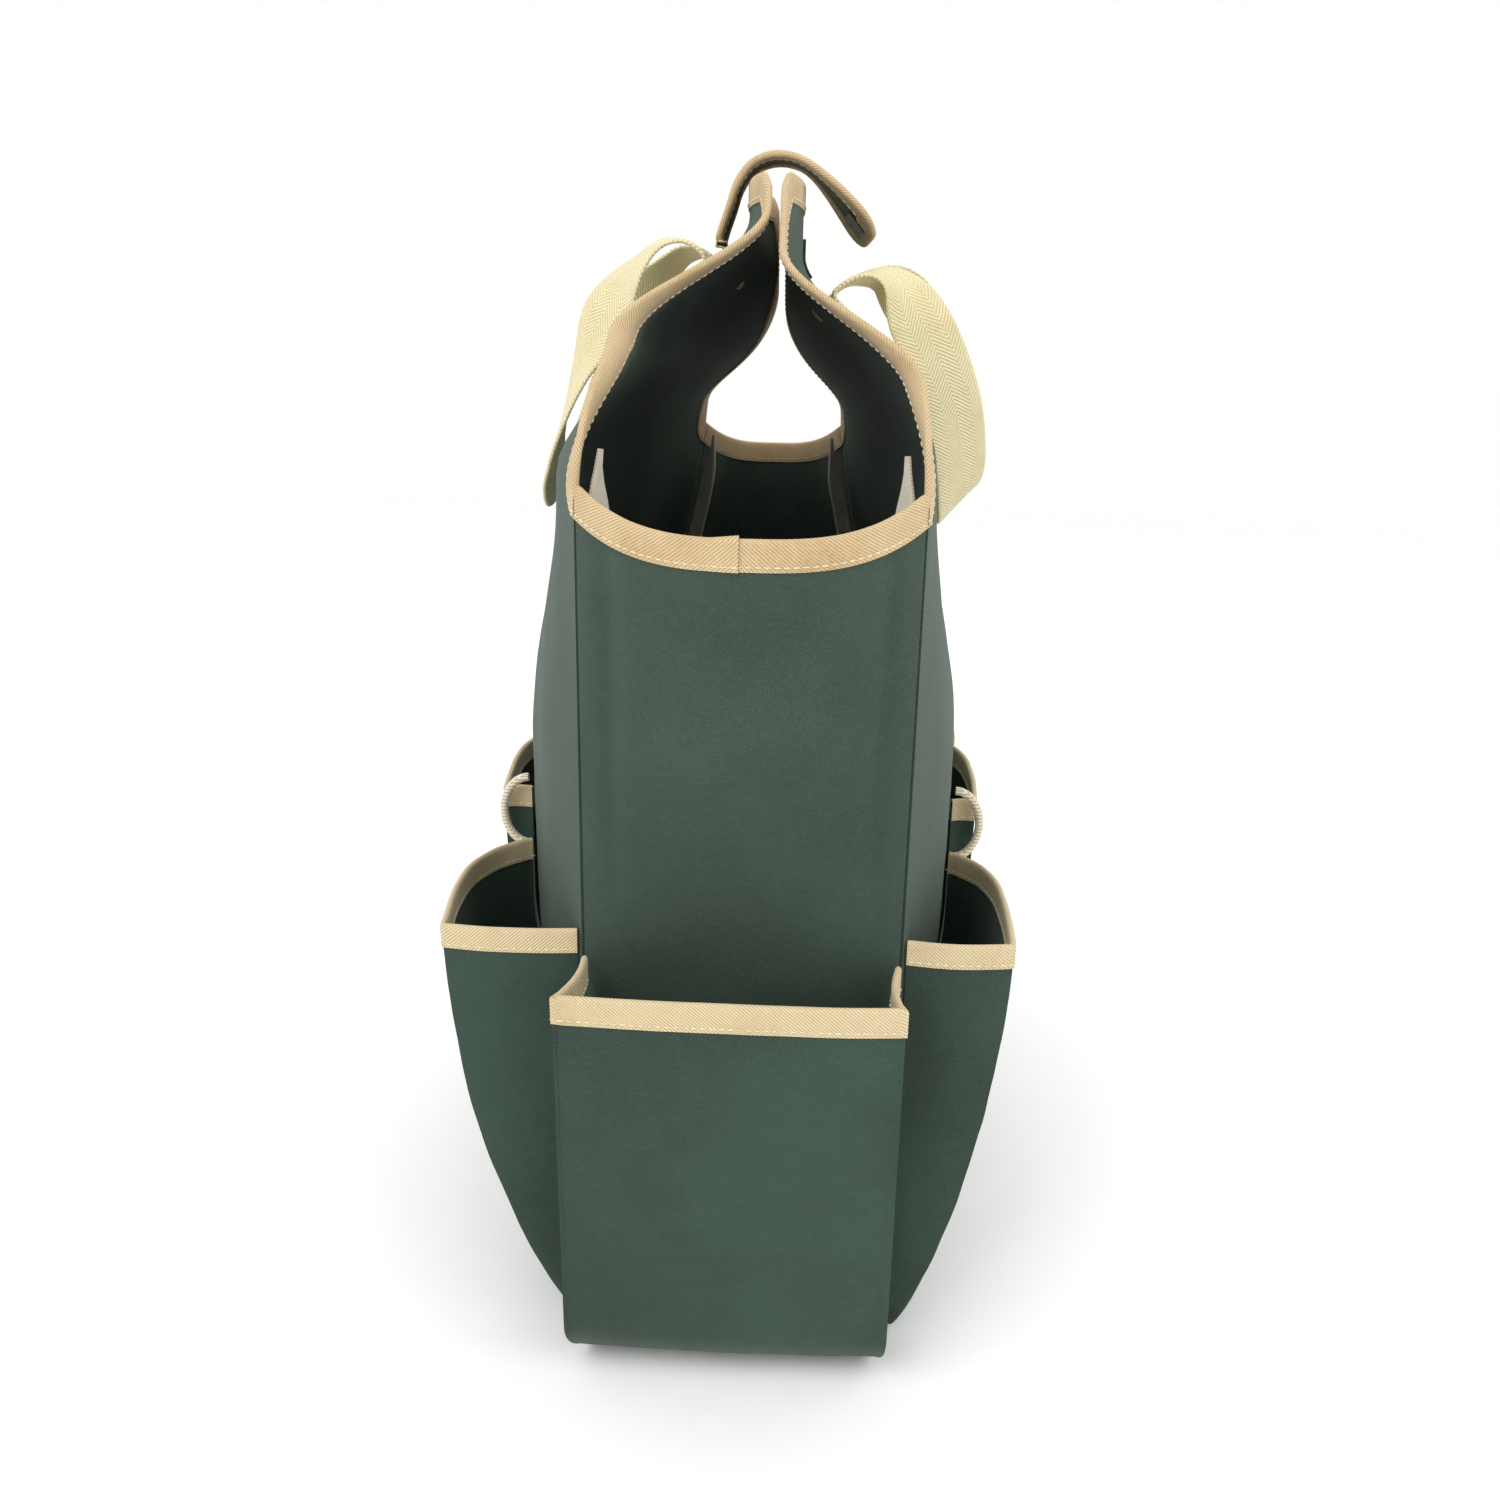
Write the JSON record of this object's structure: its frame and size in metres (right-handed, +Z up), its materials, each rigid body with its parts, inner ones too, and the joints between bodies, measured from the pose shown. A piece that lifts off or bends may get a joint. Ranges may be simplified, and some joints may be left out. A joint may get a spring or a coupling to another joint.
{
  "type": "garden tool bag",
  "caption": "Tall fabric tote for garden tools: two side flaps close over the top under a tab, bound pockets ring the body, webbing handles hang outside.",
  "frame": {"origin": "centre of the base on the ground plane, midway between the bag's long sides and its ends", "axes": "+X across the bag to the right seen from the near end, +Y along the bag from the near end to the far end, +Z up"},
  "size_m": [0.2555, 0.4214, 0.5235],
  "materials": {
    "canvas": "twill weave, matt",
    "pocket_canvas": "twill weave, matt",
    "binding_tape": "herringbone tape, matt",
    "webbing": "ribbed webbing, matt",
    "seam_binding": "plain tape, matt",
    "elastic_cord": "braided, matt",
    "stiffener": "satin",
    "hook_and_loop": "napped, matt"
  },
  "bodies": {
    "bag_body": {"base_board": "stiffener", "base_panel": "canvas", "far_end_panel": "canvas", "far_end_pocket": "pocket_canvas", "far_end_pocket_binding": "binding_tape", "far_rim_binding": "binding_tape", "left_far_corner_binding": "seam_binding", "left_near_corner_binding": "seam_binding", "left_pocket_1": "pocket_canvas", "left_pocket_1_binding": "binding_tape", "left_pocket_2": "pocket_canvas", "left_pocket_2_binding": "binding_tape", "left_pocket_3": "pocket_canvas", "left_pocket_3_binding": "binding_tape", "left_side_panel": "canvas", "left_tool_loop": "elastic_cord", "near_end_panel": "canvas", "near_end_pocket": "pocket_canvas", "near_end_pocket_binding": "binding_tape", "near_rim_binding": "binding_tape", "right_far_corner_binding": "seam_binding", "right_near_corner_binding": "seam_binding", "right_pocket_1": "pocket_canvas", "right_pocket_1_binding": "binding_tape", "right_pocket_2": "pocket_canvas", "right_pocket_2_binding": "binding_tape", "right_pocket_3": "pocket_canvas", "right_pocket_3_binding": "binding_tape", "right_side_panel": "canvas", "right_tool_loop": "elastic_cord"},
    "closure_tab": {"closure_hook_patch": "hook_and_loop", "closure_tab": "canvas", "closure_tab_binding": "binding_tape"},
    "right_flap": {"closure_loop_patch": "hook_and_loop", "right_flap": "canvas", "right_flap_binding": "binding_tape", "right_handle_far_tail": "webbing", "right_handle_near_tail": "webbing"},
    "left_flap": {"closure_tab_root": "canvas", "left_flap": "canvas", "left_flap_binding": "binding_tape", "left_handle_far_tail": "webbing", "left_handle_near_tail": "webbing"},
    "left_handle": {"left_handle": "webbing"},
    "right_handle": {"right_handle": "webbing"}
  },
  "joints": [
    {"name": "left_flap_fold", "type": "hinge", "parent": "bag_body", "child": "left_flap", "pos_m": [-0.0895, 0, 0.387], "axis": [-0.0744, -0.9972, 0], "range_deg": [0, 10]},
    {"name": "right_flap_fold", "type": "hinge", "parent": "bag_body", "child": "right_flap", "pos_m": [0.075, 0, 0.387], "axis": [-0.0744, 0.9972, 0], "range_deg": [0, 6]},
    {"name": "left_handle_swing", "type": "hinge", "parent": "left_flap", "child": "left_handle", "pos_m": [-0.0391, 0, 0.4836], "axis": [0, 1, 0], "range_deg": [0, 140]},
    {"name": "right_handle_swing", "type": "hinge", "parent": "right_flap", "child": "right_handle", "pos_m": [0.0491, 0, 0.4716], "axis": [0, -1, 0], "range_deg": [0, 135]},
    {"name": "closure_tab_lift", "type": "hinge", "parent": "left_flap", "child": "closure_tab", "pos_m": [-0.0234, 0, 0.4826], "axis": [0, -1, 0], "range_deg": [0, 120]}
  ],
  "couplings": [
    {"joint": "right_flap_fold", "follows": "closure_tab_lift", "ratio": 0.05}
  ]
}
